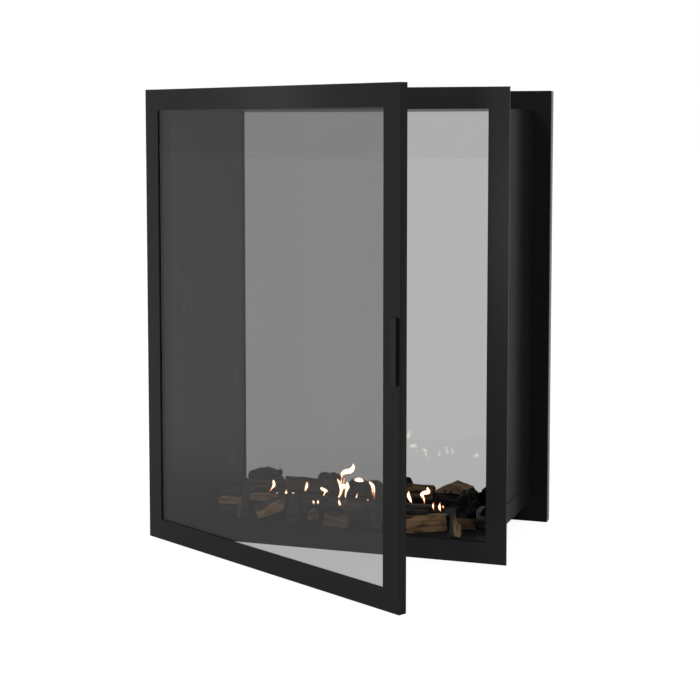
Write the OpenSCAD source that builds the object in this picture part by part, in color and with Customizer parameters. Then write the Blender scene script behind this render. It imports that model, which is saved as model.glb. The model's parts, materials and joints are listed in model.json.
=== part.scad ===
// See-through built-in ethanol fireplace: a folded steel casing, open from front to rear, with a
// flat frame and a framed glass door at each end, a drop-in burner and a bed of ceramic logs.
// The origin is the centre of the casing's underside, which sits on the sill of the wall opening.
// The front door faces -Y, is hinged on its left stile and is drawn standing open.

/* [Casing] */
// Width of the front and rear frames
frame_w = 812; // [790:1:1200]
// Height of the front and rear frames
frame_h = 1000; // [600:1:1300]
// Depth between the outer faces of the two frames
frame_span = 403; // [400:1:600]
// Width of a frame's bars
bar_w = 45; // [40:1:60]
// Thickness of a frame plate
frame_t = 1.5; // [1:0.5:3]
// Sheet thickness of the walls, the liners and the roof
sheet = 1.5; // [1:0.5:2]
// Thickness of the base tray's floor
floor_t = 2; // [1.5:0.5:4]
// Air gap between a wall and its liner
liner_gap = 1; // [1:0.5:5]
// How far the casing's top stands above the frames' window
reveal_top = 1; // [0:0.5:3]
// How far the casing's underside stands above the lower edge of the frames' window
reveal_bottom = 2; // [0:0.5:4]
// Distance of the seams at the casing's corners from its side walls
seam_out = 3; // [2:0.5:6]
// Width of these seams
seam_w = 1.5; // [0.5:0.5:2]
// Height of the base tray's side upstands above the underside
upstand_h = 44; // [20:1:80]

/* [Anchor holes] */
// Diameter of the anchor holes in the base tray
anchor_d = 9; // [6:1:12]
// Spacing of the anchor holes along the width
anchor_span_x = 620; // [560:1:680]
// Spacing of the anchor holes along the depth
anchor_span_y = 260; // [220:1:340]

/* [Doors] */
// Gap between a frame and its closed door
door_gap = 3; // [3:0.5:4]
// How much the door stands in from the frame at top and bottom
door_inset = 1; // [0.5:0.5:3]
// Thickness of a door
door_t = 18.5; // [17:0.5:26]
// Width of a door's bars
door_bar_w = 45; // [42:1:60]
// Sheet thickness of a door
door_sheet = 2; // [1.5:0.5:2.5]
// Width of the lip folded in behind the door's edge
lip_w = 22; // [21.5:0.5:23]
// Angle at which the front door stands open
door_open = 29; // [0:1:80]

/* [Glass] */
// Thickness of a pane
glass_t = 4; // [3:1:6]
// How far a door bar covers the edge of its pane
glass_lap = 12; // [11:0.5:14]
// Thickness of the tape between the bar and the pane
tape_t = 0.7; // [0.5:0.1:1.5]
// Width of the tape
tape_w = 9; // [5:0.5:9]
// Width of the seal that closes against the frame
seal_w = 8; // [4:0.5:8]
// Distance of the seal from the door's edge
seal_in = 13; // [13:0.5:13.5]
// Gap left between the closed door's seal and the frame
seal_clear = 0.3; // [0.2:0.1:1]

/* [Glass clips] */
// Sheet thickness of a clip
clip_sheet = 1.5; // [1:0.5:2]
// Length of a clip along the bar
clip_l = 16; // [10:1:30]
// How far a clip reaches over the pane
clip_reach = 8; // [5:0.5:10]
// Length of a clip's foot
clip_foot = 10; // [9.5:0.5:10.5]
// Gap between a clip and the edge of the pane
clip_clear = 0.5; // [0.3:0.1:1]
// Clips on each stile
clips_per_stile = 3; // [2:1:6]
// Clips on each rail
clips_per_rail = 2; // [2:1:6]
// Distance of the first clip from the door's corner
clip_end = 140; // [100:1:200]
// Diameter of a clip's stud
stud_d = 4; // [3:0.5:4]
// Width of a clip's nut across its flats
nut_flats = 7; // [6:0.5:7]
// Height of a clip's nut
nut_h = 3; // [2:0.5:4]

/* [Pull] */
// Length of the pull
pull_l = 128; // [96:1:256]
// Width of the pull
pull_w = 14; // [12:0.5:20]
// How far the pull stands out from the door
pull_h = 7.5; // [6:0.5:16]
// Distance of the pull from the door's free edge
pull_in = 3.5; // [2:0.5:3.5]
// Wall left in front of and behind the finger groove
groove_wall = 1.5; // [1:0.5:2]
// Depth of the finger groove
groove_deep = 2.5; // [1:0.5:2.5]
// Diameter of a pull screw
pull_screw_d = 4; // [3:0.5:4]
// Distance between the two pull screws
pull_screw_span = 96; // [64:1:96]
// How deep a pull screw goes into the pull
pull_screw_deep = 5; // [3:0.5:5]

/* [Closing magnets] */
// Diameter of a magnet
magnet_d = 8; // [6:0.5:9]
// Length of a magnet
magnet_l = 8; // [5:0.5:10]
// Distance of the magnets from the door's free edge
magnet_in = 7; // [6:0.5:7.5]
// Distance of the magnets from the door's ends
magnet_end = 90; // [60:1:200]

/* [Hinges] */
// Diameter of a hinge pin
pin_d = 6; // [5:0.5:7]
// Distance of the hinges from the frame's ends
hinge_end = 60; // [40:1:80]
// Thickness of the bracket's lug
lug_t = 4; // [3:0.5:6]
// Thickness of the tabs that hold the pin in the door
tab_t = 3; // [2:0.5:4]
// Widest angle to which a door opens
door_open_max = 105; // [90:1:105]
// Width of a bracket's leaf behind the frame
leaf_w = 28; // [26:1:30]
// Height of a bracket's leaf
leaf_h = 44; // [36:1:50]
// Thickness of a bracket's leaf
leaf_t = 3; // [2:0.5:4]
// Diameter of a bracket screw
bracket_screw_d = 4; // [3:0.5:5]

/* [Burner] */
// Length of the flame slot
slot_l = 450; // [420:1:460]
// Width of the flame slot
slot_w = 50; // [40:1:52]
// Height of the deck's top above the floor
deck_rise = 22; // [18:1:40]
// Sheet thickness of the deck
deck_t = 2; // [1.5:0.5:3]
// How far the tank hangs below the casing's underside
tank_drop = 40; // [20:1:44]
// Sheet thickness of the tank
tank_t = 1.5; // [1:0.5:2]
// Width of the rim by which the tank hangs on the floor
tank_rim = 12; // [10:0.5:14]
// Height of the ceramic wool in the tank
wool_h = 44; // [20:1:46]
// Thickness of the shutter
shutter_t = 2; // [1.5:0.5:3]
// How far the shutter laps past the flame slot
shutter_lap = 4; // [2:0.5:5]
// Place of the shutter's knob along the slot
knob_x = 75; // [68:1:82]
// Diameter of the knob's stem
knob_d = 6; // [4:0.5:8]
// Height of the knob above the deck
knob_rise = 16; // [10:1:20]
// Diameter of a deck screw
deck_screw_d = 5; // [3:0.5:5]

/* [Log bed] */
// Height of the block that carries the left plank
left_block_h = 24; // [15:1:30]
// Height of the plank that carries the light wedge
right_plank_h = 19; // [12:1:30]
// Tilt of the block that leans with one end up
leaning_tilt = 20; // [8:1:22]

/* [Hidden] */
$fn = 48;
// Running clearance round a pin, a stud or a screw
pin_clear = 0.05;
// Gap beside a piece that slides or turns next to another
slide_clear = 0.3;

// The casing: overlaps of the frames and clear sizes
wall_pack = 3 * sheet + liner_gap;
lap_side = bar_w - wall_pack;
lap_top = bar_w - reveal_top;
lap_bottom = bar_w + reveal_bottom;
casing_w = frame_w - 2 * lap_side;
casing_d = frame_span - 2 * frame_t;
casing_h = frame_h - lap_top - lap_bottom;
frame_low = -lap_bottom;
frame_high = frame_low + frame_h;
stile_in = casing_d / 2 - sheet;
flange_x = casing_w / 2 + seam_out - seam_w / 2;
stile_x = flange_x + seam_w;
wall_x = casing_w / 2 - sheet;
liner_x = casing_w / 2 - wall_pack;
liner_lip = 12;
// Gap left between a tray upstand and the flange at its end, so that both can be folded
bend_relief = 6;

// A door in its own frame: x from the hinged edge, y from the face towards the back, z from the foot
door_w = frame_w;
door_h = frame_h - 2 * door_inset;
axis_in = 2 * door_gap;
axis_y = door_t - axis_in;
lug_r = axis_in - 1;
lug_room = lug_t / 2 + slide_clear;
slot_room = lug_r + 2 * slide_clear;
tab_w = axis_in + 10;
hinge_low = hinge_end - door_inset;
hinge_high = door_h - hinge_low;
notch_low = (axis_in * cos(door_open_max) - slot_room) / sin(door_open_max);
glass_edge = door_bar_w - glass_lap;
glass_y = door_sheet + tape_t;
seal_t = door_gap - seal_clear;
clip_riser = glass_edge - clip_clear - clip_sheet;
stud_in = clip_riser - clip_foot / 2;
stud_l = clip_sheet + nut_h + 2;
nut_fn = 6;
pull_screw_in = pull_in + groove_deep + pull_screw_d / 2 + 1;
screw_head_r = 1.75;
screw_head_h = 2;
pin_head_r = axis_in - door_sheet - slide_clear;
pin_head_t = 1.5;

// Where the doors hang in the casing
hinge_x = -frame_w / 2 + axis_in;
hinge_y = frame_span / 2 + door_gap + axis_in;
bracket_z = [frame_low + hinge_end, frame_high - hinge_end];
leaf_x = hinge_x - lug_r;
bracket_screw_up = leaf_h / 2 - 8;
bracket_screw_x = leaf_x + leaf_w - 9;

// The burner, from the floor up
floor_z = floor_t;
deck_z = floor_z + deck_rise;
deck_low = deck_z - deck_t;
shutter_z = deck_low - slide_clear - shutter_t;
tank_top = shutter_z - slide_clear;
shutter_l = slot_l + 2 * shutter_lap;
shutter_w = slot_w + 2 * shutter_lap;
shutter_open = slot_w / 2 + shutter_w / 2 + 1;
guide_w = 5;
guide_x = shutter_l / 2 + slide_clear;
tank_l = 2 * (guide_x + guide_w) + 1;
tank_w = 2 * (shutter_open + shutter_w / 2) + 2;
cutout_gap = 1;
deck_l = tank_l + 2 * (tank_rim + deck_t + 1);
deck_w = tank_w + 2 * (tank_rim + deck_t + 1);
post_r = 4;
post_x = tank_l / 2 + tank_rim / 2;
post_y = tank_w / 2 + tank_rim / 2;
post_hole_deep = 12;
knob_head_r = knob_d / 2 + 2;
knob_head_h = 6;
knob_room = knob_d / 2 + 1;

// Distances in the log bed: behind the front frame, before and behind the slot, round the deck, and
// in from the right liner
function front(d) = d - frame_span / 2;
function before_slot(d) = -slot_w / 2 - d;
function behind_slot(d) = slot_w / 2 + d;
function before_deck(d) = -deck_w / 2 - d;
function left_of_deck(d) = -deck_l / 2 - d;
function right_of_deck(d) = deck_l / 2 + d;
function off_right_liner(d) = frame_w / 2 - bar_w - d;

// The log bed, one row for each log:
// node, shape, length, width, height, centre x, centre y, seat height, turn, tone
LOGS = [
    ["bark_log_left", "bark", 56, 42, 44, left_of_deck(34), -70, floor_z, 6, "dark"],
    ["big_bark_left", "bark", 90, 40, 38, -253, behind_slot(55), deck_z, -4, "dark"],
    ["short_brown_logs", "split", 84, 30, 27, -233, behind_slot(18), deck_z, 0, "brown"],
    ["short_brown_logs", "split", 84, 32, 35, 137, behind_slot(18), deck_z, 0, "brown"],
    ["short_brown_logs", "split", 54, 22, 23, right_of_deck(41), before_deck(9), floor_z, 6, "brown"],
    ["short_brown_logs", "split", 22, 22, 24, off_right_liner(36), -82, floor_z, 0, "brown"],
    ["long_brown_log", "split", 148, 30, 30, -112, behind_slot(18), deck_z, -2, "brown"],
    ["back_bark_mid", "bark", 62, 37, 36, -88, behind_slot(58), deck_z, 5, "dark"],
    ["bark_log_mid", "bark", 86, 34, 35, 14, behind_slot(21), deck_z, 3, "dark"],
    ["back_bark_right", "bark", 36, 34, 38, 98, behind_slot(58), deck_z, -3, "dark"],
    ["dark_planks", "plank", 62, 30, right_plank_h, 215, behind_slot(21), deck_z, 6, "dark"],
    ["dark_planks", "plank", 52, 16, 34, 184, before_deck(12), floor_z, 0, "dark"],
    ["light_wedge", "gable", 46, 80, 24, 224, behind_slot(25), deck_z + right_plank_h, 86, "light"],
    ["big_bark_right", "bark", 90, 48, 60, right_of_deck(26), -24, floor_z, 90, "dark"],
    ["big_bark_right", "bark", 60, 34, 56, right_of_deck(49), 60, floor_z, 90, "dark"],
    ["pale_blocks", "plank", 44, 14, 32, right_of_deck(60), -42, floor_z, 90, "light"],
    ["pale_blocks", "plank", 44, 24, 36, 36, before_deck(16), floor_z, 4, "light"],
    ["big_light_log", "split", 92, 34, 37, 215, front(43.5), floor_z, 28, "light"],
    ["low_dark_slabs", "plank", 118, 26, 10, -82, before_slot(35), deck_z, 4, "dark"],
    ["low_dark_slabs", "plank", 108, 24, 11, 176, before_slot(37), deck_z, -3, "dark"],
    ["bark_log_front", "bark", 84, 40, 57, 93, front(27), floor_z, 4, "dark"],
    ["brown_chunk", "split", 56, 28, 30, 21, front(23.5), floor_z, -4, "brown"],
    ["grey_bark_left", "bark", 50, 30, 40, -92, before_deck(19), floor_z, -6, "dark"],
    ["floor_blocks", "plank", 44, 34, left_block_h, -246, front(55.5), floor_z, 5, "brown"],
    ["floor_blocks", "plank", 26, 28, 38, -80, front(24), floor_z, 0, "brown"],
    ["floor_blocks", "split", 30, 22, 24, -50, front(61.5), floor_z, 90, "brown"],
    ["tilted_block", "leaning", 62, 30, 32, -139, front(42), floor_z, 15, "light"],
    ["thin_planks", "plank", 52, 24, 13, -244, front(53.5), floor_z + left_block_h, 3, "light"],
    ["thin_planks", "plank", 66, 22, 13, -188, before_slot(61), deck_z, 4, "light"],
    ["upright_sticks", "stick", 22, 20, 82, -202, front(17.5), floor_z, 5, "light"],
    ["upright_sticks", "stick", 24, 24, 60, 292, front(17.5), floor_z, -3, "light"],
];
log_nodes = [for (i = [0 : len(LOGS) - 1]) if (i == 0 || LOGS[i][0] != LOGS[i - 1][0]) LOGS[i][0]];

// Extrudes an outline drawn in x and z along y, from 0 to t
module upright(t) {
    rotate([90, 0, 0]) translate([0, 0, -t]) linear_extrude(t) children();
}

// A rectangular ring, w wide and h high, with bars of the given width
module ring(w, h, bar) {
    difference() {
        square([w, h]);
        translate([bar, bar]) square([w - 2 * bar, h - 2 * bar]);
    }
}

module both_sides() {
    children();
    mirror([1, 0, 0]) children();
}

module both_ends() {
    children();
    mirror([0, 1, 0]) children();
}

// Casing

// The slot in a frame and its stile through which a bracket's lug passes
module lug_slots() {
    for (z = bracket_z)
        translate([hinge_x - slot_room, stile_in - 1, z - lug_room])
            cube([2 * slot_room, sheet + frame_t + 2, 2 * lug_room]);
}

// The bracket screws' holes, blind in the frame plate
module bracket_screw_holes(r) {
    for (z = bracket_z, up = [-1, 1])
        translate([bracket_screw_x, 0, z + up * bracket_screw_up])
            rotate([-90, 0, 0]) cylinder(r = r, h = casing_d / 2 + frame_t / 2);
}

module frame_plate() {
    color("#262728") difference() {
        translate([-frame_w / 2, casing_d / 2, frame_low]) upright(frame_t) ring(frame_w, frame_h, bar_w);
        lug_slots();
        bracket_screw_holes(bracket_screw_d / 2 + pin_clear);
    }
}

// A side wall with the stiles folded out behind the two frames, drawn on the hinged side
module wall_sheet() {
    translate([-wall_x, -casing_d / 2, floor_t]) cube([sheet, casing_d, casing_h - sheet - floor_t]);
    both_ends() translate([0, stile_in, 0]) {
        translate([-frame_w / 2, 0, frame_low]) cube([frame_w / 2 - stile_x, sheet, frame_h]);
        translate([-stile_x - 1, 0, floor_t])
            cube([stile_x + 1 - wall_x + sheet, sheet, casing_h - sheet - floor_t]);
    }
}

module hinged_wall() {
    color("#1c1c1d") difference() {
        wall_sheet();
        both_ends() {
            lug_slots();
            bracket_screw_holes(bracket_screw_d / 2 + pin_clear);
        }
    }
}

module plain_wall() {
    color("#1c1c1d") mirror([1, 0, 0]) wall_sheet();
}

module roof_panel() {
    color("#1c1c1d") {
        translate([-casing_w / 2, -casing_d / 2, casing_h - sheet]) cube([casing_w, casing_d, sheet]);
        both_ends() translate([-flange_x, stile_in, casing_h - sheet])
            cube([2 * flange_x, sheet, frame_high - casing_h + sheet]);
    }
}

module base_tray() {
    color("#1c1c1d") difference() {
        union() {
            translate([-casing_w / 2, -casing_d / 2, 0]) cube([casing_w, casing_d, floor_t]);
            both_ends() translate([-flange_x, stile_in, frame_low])
                cube([2 * flange_x, sheet, floor_t - frame_low]);
            both_sides() translate([-casing_w / 2, -stile_in + bend_relief, 0])
                cube([sheet, 2 * (stile_in - bend_relief), upstand_h]);
        }
        translate([-tank_l / 2 - cutout_gap, -tank_w / 2 - cutout_gap, -1])
            cube([tank_l + 2 * cutout_gap, tank_w + 2 * cutout_gap, floor_t + 2]);
        for (x = [-1, 1], y = [-1, 1])
            translate([x * anchor_span_x / 2, y * anchor_span_y / 2, -1])
                cylinder(d = anchor_d, h = floor_t + 2);
    }
}

module liner() {
    color("#19191a") translate([0, 0, floor_t]) {
        translate([-liner_x - sheet, -casing_d / 2, 0]) cube([sheet, casing_d, casing_h - sheet - floor_t]);
        both_ends() translate([-liner_x - sheet - liner_gap, casing_d / 2 - liner_lip, 0])
            cube([liner_gap + 1, liner_lip, casing_h - sheet - floor_t]);
    }
}

// A hinge bracket: a leaf behind the stile and a lug that reaches forward into the door
module hinge_brackets() {
    color("#303133") difference() {
        for (z = bracket_z) {
            translate([leaf_x, stile_in - leaf_t, z - leaf_h / 2]) cube([leaf_w, leaf_t, leaf_h]);
            translate([hinge_x - lug_r, stile_in - leaf_t, z - lug_t / 2])
                cube([2 * lug_r, hinge_y - stile_in + leaf_t, lug_t]);
            translate([hinge_x, hinge_y, z - lug_t / 2]) cylinder(r = lug_r, h = lug_t);
        }
        bracket_screw_holes(bracket_screw_d / 2 + pin_clear);
        for (z = bracket_z)
            translate([hinge_x, hinge_y, z - lug_t]) cylinder(r = pin_d / 2 + pin_clear, h = 2 * lug_t);
    }
}

module bracket_screws() {
    color("#8a8c8e") both_ends() for (z = bracket_z, up = [-1, 1])
        translate([bracket_screw_x, stile_in - leaf_t, z + up * bracket_screw_up])
            rotate([-90, 0, 0]) {
                cylinder(d = bracket_screw_d, h = leaf_t + sheet + frame_t / 2);
                translate([0, 0, -screw_head_h]) cylinder(r = bracket_screw_d * 0.9, h = screw_head_h);
            }
}

// Burner

module burner_tank() {
    color("#77797b") difference() {
        union() {
            translate([-tank_l / 2, -tank_w / 2, -tank_drop]) cube([tank_l, tank_w, tank_drop + tank_top]);
            translate([-tank_l / 2 - tank_rim, -tank_w / 2 - tank_rim, floor_z])
                cube([tank_l + 2 * tank_rim, tank_w + 2 * tank_rim, tank_t]);
        }
        translate([-tank_l / 2 + tank_t, -tank_w / 2 + tank_t, tank_t - tank_drop])
            cube([tank_l - 2 * tank_t, tank_w - 2 * tank_t, tank_drop + tank_top - 2 * tank_t]);
        translate([-slot_l / 2, -slot_w / 2, 0]) cube([slot_l, slot_w, tank_top + 1]);
    }
}

module ceramic_wool() {
    side = tank_t + slide_clear;
    color("#d8d4ca") translate([-tank_l / 2 + side, -tank_w / 2 + side, tank_t - tank_drop])
        cube([tank_l - 2 * side, tank_w - 2 * side, wool_h]);
}

module burner_deck() {
    color("#1a1a1b") difference() {
        translate([-deck_l / 2, -deck_w / 2, floor_z]) cube([deck_l, deck_w, deck_rise]);
        translate([-deck_l / 2 + deck_t, -deck_w / 2 + deck_t, floor_z - 1])
            cube([deck_l - 2 * deck_t, deck_w - 2 * deck_t, deck_rise - deck_t + 1]);
        translate([-slot_l / 2, -slot_w / 2, deck_low - 1]) cube([slot_l, slot_w, deck_t + 2]);
        translate([knob_x - knob_room, 0, deck_low - 1])
            cube([2 * knob_room, shutter_open, deck_t + 2]);
        translate([knob_x, shutter_open, deck_low - 1]) cylinder(r = knob_room, h = deck_t + 2);
        at_posts() translate([0, 0, deck_low]) deck_screw_form(pin_clear);
    }
}

module at_posts() {
    for (x = [-1, 1], y = [-1, 1]) translate([x * post_x, y * post_y, 0]) children();
}

// A countersunk screw whose head fills the thickness of the deck
module deck_screw_form(more) {
    head_r = deck_screw_d / 2 + deck_t + more;
    cylinder(r1 = deck_screw_d / 2 + more, r2 = head_r, h = deck_t);
    translate([0, 0, -1]) cylinder(r = deck_screw_d / 2 + more, h = 2);
}

module deck_screws() {
    color("#8a8c8e") at_posts() translate([0, 0, deck_low]) {
        deck_screw_form(0);
        translate([0, 0, 1 - post_hole_deep]) cylinder(d = deck_screw_d, h = post_hole_deep);
    }
}

module deck_posts() {
    color("#77797b") at_posts() difference() {
        translate([0, 0, floor_z + tank_t]) cylinder(r = post_r, h = deck_low - floor_z - tank_t);
        translate([0, 0, deck_low - post_hole_deep])
            cylinder(r = deck_screw_d / 2 + pin_clear, h = post_hole_deep + 1);
    }
}

module shutter_guides() {
    color("#77797b") both_sides() translate([guide_x, -shutter_w / 2, tank_top])
        cube([guide_w, shutter_open + shutter_w, deck_low - tank_top]);
}

module shutter() {
    color("#77797b") difference() {
        translate([-shutter_l / 2, shutter_open - shutter_w / 2, shutter_z])
            cube([shutter_l, shutter_w, shutter_t]);
        translate([knob_x, shutter_open, shutter_z - 1])
            cylinder(r = knob_d / 2 - 1 + pin_clear, h = shutter_t + 2);
    }
}

module shutter_knob() {
    color("#9a9c9e") translate([knob_x, shutter_open, shutter_z]) {
        cylinder(r = knob_d / 2 - 1, h = shutter_t);
        translate([0, 0, shutter_t])
            cylinder(d = knob_d, h = deck_z + knob_rise - knob_head_h - shutter_z - shutter_t);
        translate([0, 0, deck_z + knob_rise - knob_head_h - shutter_z])
            cylinder(r = knob_head_r, h = knob_head_h);
    }
}

// Doors, each piece in the door's own frame

module door_frame() {
    color("#2b2c2d") difference() {
        union() {
            upright(door_sheet) ring(door_w, door_h, door_bar_w);
            upright(door_t) ring(door_w, door_h, door_sheet);
            translate([0, door_t - door_sheet, 0]) upright(door_sheet) ring(door_w, door_h, lip_w);
            for (z = [hinge_low, hinge_high], side = [0, 1])
                translate([1, 1, z + (side ? lug_room : -lug_room - tab_t)])
                    cube([tab_w - 1, door_t - 2, tab_t]);
        }
        for (z = [hinge_low, hinge_high]) {
            translate([-1, door_t - door_sheet, z - lug_room])
                cube([axis_in + slot_room + 1, door_sheet + 1, 2 * lug_room]);
            translate([-1, axis_y + notch_low, z - lug_room])
                cube([door_sheet + 1, door_t, 2 * lug_room]);
            translate([axis_in, axis_y, z - lug_room - 2 * tab_t])
                cylinder(r = pin_d / 2 + pin_clear, h = 2 * lug_room + 4 * tab_t);
        }
        for (z = [magnet_end, door_h - magnet_end])
            translate([door_w - magnet_in, door_t - door_sheet - 1, z])
                rotate([-90, 0, 0]) cylinder(r = magnet_d / 2 + pin_clear, h = door_sheet + 2);
        at_pull_screws() {
            translate([0, 0, -door_t]) cylinder(r = 2 * pull_screw_d * 0.9, h = door_sheet + 1);
            translate([0, 0, -door_sheet - 1]) cylinder(r = pull_screw_d / 2 + pin_clear, h = door_sheet + 2);
        }
    }
}

// The pull screws' axes: z points out of the door's face
module at_pull_screws() {
    for (up = [-1, 1])
        translate([door_w - pull_screw_in, 0, door_h / 2 + up * pull_screw_span / 2])
            rotate([90, 0, 0]) children();
}

module glass() {
    color("#3a3c3e", 0.35) translate([glass_edge, glass_y, glass_edge])
        cube([door_w - 2 * glass_edge, glass_t, door_h - 2 * glass_edge]);
}

module glass_tape() {
    tape_in = door_bar_w - tape_w - 1;
    color("#141414") translate([tape_in, door_sheet, tape_in])
        upright(tape_t) ring(door_w - 2 * tape_in, door_h - 2 * tape_in, tape_w);
}

module seal() {
    color("#141414") translate([seal_in, door_t, seal_in])
        upright(seal_t) ring(door_w - 2 * seal_in, door_h - 2 * seal_in, seal_w);
}

// Places a piece drawn for the hinged stile at each clip round the door
module at_clips() {
    for (i = [0 : clips_per_stile - 1]) {
        z = clip_end + i * (door_h - 2 * clip_end) / (clips_per_stile - 1);
        translate([0, 0, z]) children();
        translate([door_w, 0, z]) mirror([1, 0, 0]) children();
    }
    for (i = [0 : clips_per_rail - 1]) {
        x = clip_end + i * (door_w - 2 * clip_end) / (clips_per_rail - 1);
        translate([x, 0, 0]) rotate([0, -90, 0]) children();
        translate([x, 0, door_h]) mirror([0, 0, 1]) rotate([0, -90, 0]) children();
    }
}

module glass_clips() {
    back = glass_y + glass_t;
    color("#77797b") at_clips() difference() {
        translate([0, 0, -clip_l / 2]) linear_extrude(clip_l) polygon([
            [clip_riser + clip_sheet - clip_foot, door_sheet],
            [clip_riser + clip_sheet, door_sheet],
            [clip_riser + clip_sheet, back],
            [glass_edge + clip_reach, back],
            [glass_edge + clip_reach, back + clip_sheet],
            [clip_riser, back + clip_sheet],
            [clip_riser, door_sheet + clip_sheet],
            [clip_riser + clip_sheet - clip_foot, door_sheet + clip_sheet]
        ]);
        translate([stud_in, door_sheet - 1, 0]) rotate([-90, 0, 0])
            cylinder(r = stud_d / 2 + pin_clear, h = clip_sheet + 2);
    }
}

// Weld studs on the inside of the door's face, each with its nut
module clip_nuts() {
    color("#9a9c9e") at_clips() translate([stud_in, door_sheet, 0]) rotate([-90, 0, 0]) {
        cylinder(d = stud_d, h = stud_l);
        translate([0, 0, clip_sheet]) rotate(30) cylinder(d = nut_flats / cos(30), h = nut_h, $fn = nut_fn);
    }
}

module pull() {
    color("#1b1b1c") difference() {
        translate([door_w - pull_in - pull_w, -pull_h, door_h / 2 - pull_l / 2])
            cube([pull_w, pull_h, pull_l]);
        translate([door_w - pull_in - groove_deep, groove_wall - pull_h, door_h / 2 - pull_l / 2 - 1])
            cube([groove_deep + 1, pull_h - 2 * groove_wall, pull_l + 2]);
        at_pull_screws() cylinder(r = pull_screw_d / 2 + pin_clear, h = pull_screw_deep);
    }
}

module pull_screws() {
    color("#8a8c8e") at_pull_screws() {
        translate([0, 0, -door_sheet]) cylinder(d = pull_screw_d, h = door_sheet + pull_screw_deep - 0.2);
        translate([0, 0, -door_sheet - screw_head_h])
            cylinder(d = screw_head_r * pull_screw_d, h = screw_head_h);
    }
}

module hinge_pins() {
    color("#9a9c9e") for (z = [hinge_low, hinge_high]) translate([axis_in, axis_y, z]) {
        translate([0, 0, -lug_room - tab_t]) cylinder(d = pin_d, h = 2 * lug_room + 2 * tab_t);
        translate([0, 0, lug_room + tab_t]) cylinder(r = pin_head_r, h = pin_head_t);
    }
}

module magnets() {
    color("#8a8c8e") for (z = [magnet_end, door_h - magnet_end])
        translate([door_w - magnet_in, door_t + seal_t - magnet_l, z])
            rotate([-90, 0, 0]) cylinder(d = magnet_d, h = magnet_l);
}

// Hangs a door piece at the front, turned open about its hinge axis
module at_front() {
    translate([hinge_x, -hinge_y, 0]) rotate(-door_open)
        translate([-axis_in, -axis_y, frame_low + door_inset]) children();
}

// Hangs a door piece at the rear, closed: the mirror image of the front door
module at_rear() {
    mirror([0, 1, 0]) translate([hinge_x, -hinge_y, 0])
        translate([-axis_in, -axis_y, frame_low + door_inset]) children();
}

// Log bed

function log_tone(tone) = tone == "dark" ? "#2a2623" : tone == "brown" ? "#5a4431" : "#94785a";

// Sections stand on y = 0, w wide and h high
module bark_section(w, h) {
    points = 11;
    intersection() {
        translate([0, h / 2]) polygon([for (i = [0 : points - 1])
            let (a = 360 * i / points, k = 1.05 + 0.05 * sin(2 * a + 7 * w) + 0.04 * cos(3 * a + 5 * h))
            [w / 2 * k * cos(a), h / 2 * k * sin(a)]]);
        translate([-w / 2, 0]) square([w, h]);
    }
}

module split_section(w, h) {
    polygon([
        [-0.5 * w, 0], [0.42 * w, 0], [0.5 * w, 0.3 * h], [0.4 * w, 0.66 * h],
        [0.16 * w, 0.92 * h], [-0.12 * w, h], [-0.44 * w, 0.62 * h]
    ]);
}

module plank_section(w, h) {
    polygon([[-0.5 * w, 0], [0.5 * w, 0], [0.47 * w, 0.94 * h], [0.1 * w, h], [-0.46 * w, 0.97 * h]]);
}

module gable_section(w, h) {
    polygon([[-0.5 * w, 0], [0.5 * w, 0], [0.5 * w, 0.17 * h], [0, h], [-0.5 * w, 0.5 * h]]);
}

module lying(l) {
    rotate([90, 0, 90]) translate([0, 0, -l / 2]) linear_extrude(l) children();
}

// A stick standing on end, leaning to the side by its turn and cut level at its foot and its top
module stick(w, d, h, lean) {
    intersection() {
        rotate([0, lean, 0]) translate([0, 0, -h / 2]) linear_extrude(2 * h) polygon([
            [-w / 2, d / 2], [-0.46 * w, -0.3 * d], [-0.1 * w, -d / 2], [w / 2, -0.42 * d], [0.4 * w, d / 2]
        ]);
        translate([-w - h, -d, 0]) cube([2 * (w + h), 2 * d, h]);
    }
}

// A log whose lower edge at one end touches the ground while its other end is raised
module leaning(l) {
    translate([0, 0, l / 2 * sin(leaning_tilt)]) rotate([0, -leaning_tilt, 0]) lying(l) children();
}

module fire_log(row) {
    shape = row[1];
    l = row[2];
    w = row[3];
    h = row[4];
    turn = row[8];
    color(log_tone(row[9])) translate([row[5], row[6], row[7]]) {
        if (shape == "bark") rotate(turn) lying(l) bark_section(w, h);
        if (shape == "split") rotate(turn) lying(l) split_section(w, h);
        if (shape == "plank") rotate(turn) lying(l) plank_section(w, h);
        if (shape == "gable") rotate(turn) lying(l) gable_section(w, h);
        if (shape == "leaning") rotate(turn) leaning(l) split_section(w, h);
        if (shape == "stick") stick(l, w, h, turn);
    }
}

base_tray();
hinged_wall();  // left_wall
plain_wall();  // right_wall
roof_panel();
liner();  // left_liner
mirror([1, 0, 0]) liner();  // right_liner
mirror([0, 1, 0]) frame_plate();  // front_frame
frame_plate();  // rear_frame
mirror([0, 1, 0]) hinge_brackets();  // front_hinge_brackets
hinge_brackets();  // rear_hinge_brackets
bracket_screws();
burner_tank();
ceramic_wool();
burner_deck();
deck_posts();
deck_screws();
shutter_guides();
shutter();
shutter_knob();
at_front() door_frame();  // front_door_frame
at_front() glass();  // front_glass
at_front() glass_tape();  // front_glass_tape
at_front() seal();  // front_seal
at_front() glass_clips();  // front_glass_clips
at_front() clip_nuts();  // front_clip_nuts
at_front() pull();  // front_pull
at_front() pull_screws();  // front_pull_screws
at_front() hinge_pins();  // front_hinge_pins
at_front() magnets();  // front_magnets
at_rear() door_frame();  // rear_door_frame
at_rear() glass();  // rear_glass
at_rear() glass_tape();  // rear_glass_tape
at_rear() seal();  // rear_seal
at_rear() glass_clips();  // rear_glass_clips
at_rear() clip_nuts();  // rear_clip_nuts
at_rear() pull();  // rear_pull
at_rear() pull_screws();  // rear_pull_screws
at_rear() hinge_pins();  // rear_hinge_pins
at_rear() magnets();  // rear_magnets
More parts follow.
